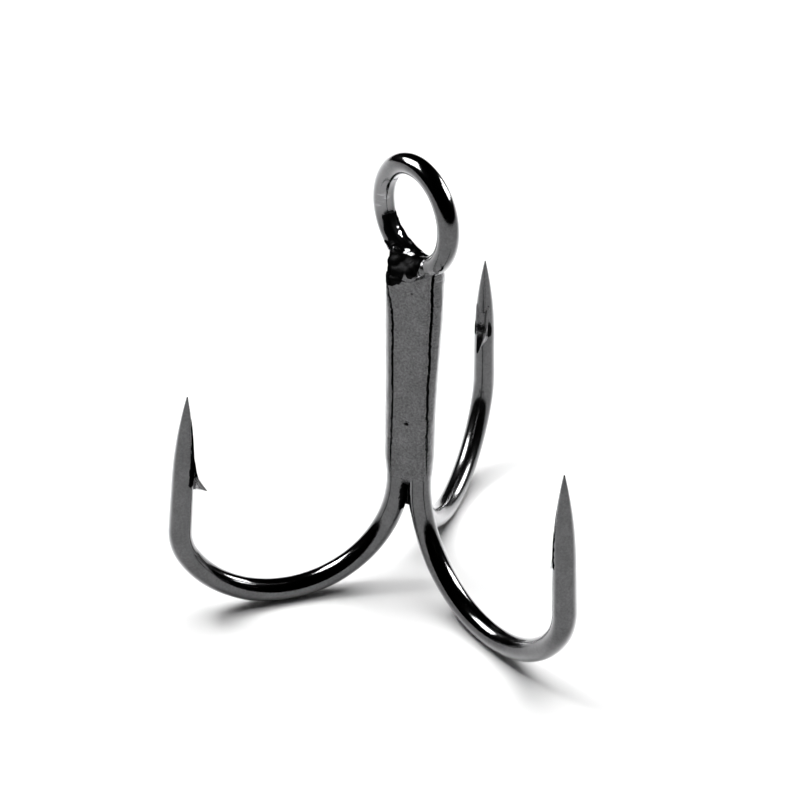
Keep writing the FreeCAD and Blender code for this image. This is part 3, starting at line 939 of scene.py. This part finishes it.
def plated(name, roughness, grain, relief, speckle):
    """Black-nickel plate: a dark metal mirror with cloudy roughness, fine grain and rubbed streaks, and
    painted light: painted shade and dark reflections, a painted rim highlight, painted sheen and painted
    glints.
    """
    nodes = Nodes(name)
    place_in = nodes.add("TexCoord").outputs["Object"]
    scaled = nodes.add("VectorMath", operation="SCALE")
    nodes.feed(scaled.inputs[0], place_in)
    nodes.feed(scaled.inputs["Scale"], 1 / MM)
    at = scaled.outputs[0]
    cloud = nodes.noise(at, 1.3, 4.0, 0.6)
    fine = nodes.noise(at, grain, 3.0, 0.6)
    grit = nodes.noise(at, grain * 0.34, 4.0, 0.75)

    # Dark metal, a little cloudy and a little grained.
    clouded = nodes.spread(cloud, 0.3, 0.7, 0.9, 1.1)
    shade = nodes.math("MULTIPLY", clouded, nodes.spread(grit, 0.35, 0.65, 1 - speckle, 1 + speckle))
    shade = nodes.math("MULTIPLY", shade, PLATE_SHADE)
    # Painted rim highlight: the plate's colour is painted brighter where it is seen at a slant.
    slant = nodes.add("LayerWeight", Blend=0.5).outputs["Facing"]
    shade = nodes.mix(nodes.spread(slant, 0.36, 0.97, 0.0, 0.85, "SMOOTHSTEP"), shade, PAINTED_RIM_SHADE)
    # Rubbed streaks show brighter metal.
    sheen_and_wear = nodes.mask("sheen_and_wear")
    slope = nodes.add("Mapping", Vector=at)
    slope.inputs["Rotation"].default_value = (0, math.radians(38), 0)
    slope.inputs["Scale"].default_value = (0.5, 0.7, 2.4)
    streak = nodes.noise(slope.outputs[0], 1.6, 3.0, 0.5)
    rubbed = nodes.math("MULTIPLY", nodes.spread(streak, 0.58, 0.75), sheen_and_wear)
    shade = nodes.mix(nodes.math("MULTIPLY", rubbed, 0.6), shade, RUBBED_SHADE)
    # Painted sheen: the marked side of the ring is painted lighter, standing in for the backdrop's
    # reflection.
    shade = nodes.mix(nodes.math("MULTIPLY", sheen_and_wear, 0.3), shade, PAINTED_SHEEN_SHADE)
    # Painted shade and painted dark reflections keep to their mask, with a frayed and speckled edge.
    painted_shade = nodes.math("MULTIPLY", nodes.mask("painted_shade"), 1.5)
    frayed = nodes.math("ADD", painted_shade, nodes.spread(grit, 0.3, 0.7, -0.75, 0.35))
    black = nodes.spread(frayed, 0.25, 0.75, 0.0, 1.0, "SMOOTHSTEP")
    shade = nodes.mix(black, shade, PAINTED_SHADE_LEVEL)
    # Painted glints: drops painted bright and satin.
    ragged = nodes.math("ADD", nodes.mask("painted_glint"), nodes.spread(grit, 0.3, 0.7, -0.3, 0.3))
    drop = nodes.spread(ragged, 0.45, 0.65)
    shade = nodes.mix(drop, shade, GLINT_SHADE)

    tint = nodes.add("CombineColor")
    for channel, factor in zip(("Red", "Green", "Blue"), PLATE_TINT):
        nodes.feed(tint.inputs[channel], nodes.math("MULTIPLY", shade, factor))
    smear = nodes.spread(fine, 0.3, 0.75, roughness * 0.7, roughness * 1.4)
    smear = nodes.mix(rubbed, smear, RUBBED_ROUGHNESS)
    smear = nodes.mix(black, smear, PAINTED_SHADE_ROUGHNESS)
    smear = nodes.mix(drop, smear, GLINT_ROUGHNESS)
    bump = nodes.add("Bump", Height=fine, Strength=relief, Distance=0.02 * MM)
    shader = nodes.add("BsdfPrincipled", Metallic=1.0, Normal=bump.outputs[0])
    nodes.feed(shader.inputs["Base Color"], tint.outputs[0])
    nodes.feed(shader.inputs["Roughness"], smear)
    # Where shade or dark reflection is painted, there is no bright edge where it is seen at a slant.
    edge_tint = nodes.mix_colours(black, (1, 1, 1, 1), (0, 0, 0, 1))
    nodes.feed(shader.inputs["Specular Tint"], edge_tint)
    return nodes.finish(shader)


WIRE_FINISH = plated("black_nickel_wire", roughness=0.09, grain=24.0, relief=0.12, speckle=0.16)
DULL_FINISH = plated("black_nickel_dull_wire", roughness=0.17, grain=24.0, relief=0.12, speckle=0.16)
BRAZE_FINISH = plated("black_nickel_braze", roughness=0.2, grain=26.0, relief=0.35, speckle=0.36)

for name, wire in wires.items():
    wire.data.materials.clear()
    wire.data.materials.append(DULL_FINISH if name == "rear" else WIRE_FINISH)
for piece in [*braze, throat]:
    piece.data.materials.append(BRAZE_FINISH)
for node in frame["nodes"].values():
    if node.name not in [hook.node for hook in HOOKS.values()]:
        node.data.materials.clear()
        node.data.materials.append(BRAZE_FINISH)


# The studio: a pale floor, and black overhead with soft boxes that the metal mirrors.

FLOOR_RADIUS = 1.2  # in metres
FLOOR_SHADE = (0.92, 0.92, 0.92, 1)
AIM_HEIGHT = 10.0  # height that the soft boxes face
FILL_STRENGTH, FILL_SPREAD, FILL_TILT, FILL_TURN = 3.8, 60, 16, 232.25
VIEW_BEARING, VIEW_ELEVATION = -37.75, 32.55
VIEW_DISTANCE, VIEW_HEIGHT, VIEW_ROLL = 99.86, 11.59, 1.209
VIEW_LENS, VIEW_SENSOR = 89.64, 36.0
VIEW_SHIFT = (-0.01657375, -0.00882375)


def direction(bearing, elevation):
    flat = polar(bearing) * math.cos(math.radians(elevation))
    return Vector((flat[0], flat[1], math.sin(math.radians(elevation))))


def rolled(rotation, degrees):
    return rotation @ Matrix.Rotation(math.radians(degrees), 3, "Z").to_quaternion()


def make_floor():
    mesh = bpy.data.meshes.new("floor")
    bm = bmesh.new()
    bmesh.ops.create_circle(bm, cap_ends=True, segments=96, radius=FLOOR_RADIUS)
    bm.to_mesh(mesh)
    bm.free()
    floor = add_object("floor", mesh)
    floor.location = (0, 0, STAND * MM)
    nodes = Nodes("pale_floor")
    shader = nodes.add("BsdfPrincipled", Roughness=0.6)
    shader.inputs["Base Color"].default_value = FLOOR_SHADE
    shader.inputs["Specular IOR Level"].default_value = 0.2
    # The floor is open from below, so that the underside can be looked at.
    below = nodes.add("NewGeometry").outputs["Backfacing"]
    both = nodes.add("MixShader")
    clear = nodes.add("BsdfTransparent")
    for source, socket in zip((below, shader.outputs[0], clear.outputs[0]), both.inputs):
        nodes.feed(socket, source)
    mesh.materials.append(nodes.finish(both))


def make_world():
    """White to the camera and black to the metal, which mirrors only the floor and the soft boxes."""
    world = bpy.data.worlds.new("studio")
    bpy.context.scene.world = world
    world.use_nodes = True
    tree = world.node_tree
    tree.nodes.clear()
    seen = tree.nodes.new("ShaderNodeLightPath")
    mix = tree.nodes.new("ShaderNodeMixShader")
    dark = tree.nodes.new("ShaderNodeBackground")
    dark.inputs["Color"].default_value = (0, 0, 0, 1)
    pale = tree.nodes.new("ShaderNodeBackground")
    pale.inputs["Color"].default_value = (1, 1, 1, 1)
    end = tree.nodes.new("ShaderNodeOutputWorld")
    tree.links.new(seen.outputs["Is Camera Ray"], mix.inputs[0])
    tree.links.new(dark.outputs[0], mix.inputs[1])
    tree.links.new(pale.outputs[0], mix.inputs[2])
    tree.links.new(mix.outputs[0], end.inputs["Surface"])


def area_light(name, bearing, elevation, distance, size, radiance, mirrored, roll):
    """A soft box that faces the hook: a mirrored one is only seen in metal, another only lights the floor."""
    light = bpy.data.lights.new(name, "AREA")
    light.shape = "RECTANGLE"
    light.size, light.size_y = size[0] * MM, size[1] * MM
    light.energy = radiance * math.pi * light.size * light.size_y
    lamp = add_object(name, light)
    way = direction(bearing, elevation)
    lamp.location = Vector((0, 0, (STAND + AIM_HEIGHT) * MM)) + way * distance * MM
    lamp.rotation_mode = "QUATERNION"
    lamp.rotation_quaternion = rolled(way.to_track_quat("Z", "Y"), roll)
    lamp.visible_glossy = mirrored
    lamp.visible_diffuse = not mirrored


def make_fill():
    """A broad soft sun that lights the floor and is not seen in the metal."""
    sun = bpy.data.lights.new("fill", "SUN")
    sun.energy, sun.angle = FILL_STRENGTH, math.radians(FILL_SPREAD)
    fill = add_object("fill", sun)
    fill.rotation_euler = (math.radians(FILL_TILT), 0, math.radians(FILL_TURN))
    fill.visible_glossy = False


def make_camera():
    back = direction(VIEW_BEARING, VIEW_ELEVATION)
    target = Vector((AXIS[0], AXIS[1], STAND + VIEW_HEIGHT))
    data = bpy.data.cameras.new("camera")
    data.sensor_width = VIEW_SENSOR
    data.lens = VIEW_LENS
    data.shift_x, data.shift_y = VIEW_SHIFT
    data.clip_start, data.clip_end = 0.01, 10
    camera = add_object("camera", data)
    camera.location = (target + back * VIEW_DISTANCE) * MM
    camera.rotation_mode = "QUATERNION"
    camera.rotation_quaternion = rolled((-back).to_track_quat("-Z", "Y"), VIEW_ROLL)
    bpy.context.scene.camera = camera


make_floor()
make_world()
area_light("soft_box_right", 77, 33, distance=130, size=(78, 46), radiance=30, mirrored=True, roll=-30)
area_light("soft_box_left", -150, 46, distance=75, size=(34, 36), radiance=30, mirrored=True, roll=-20)
area_light("key", -140, 60, distance=320, size=(60, 60), radiance=24, mirrored=False, roll=0)
make_fill()
make_camera()
bpy.context.scene.view_settings.view_transform = "Standard"
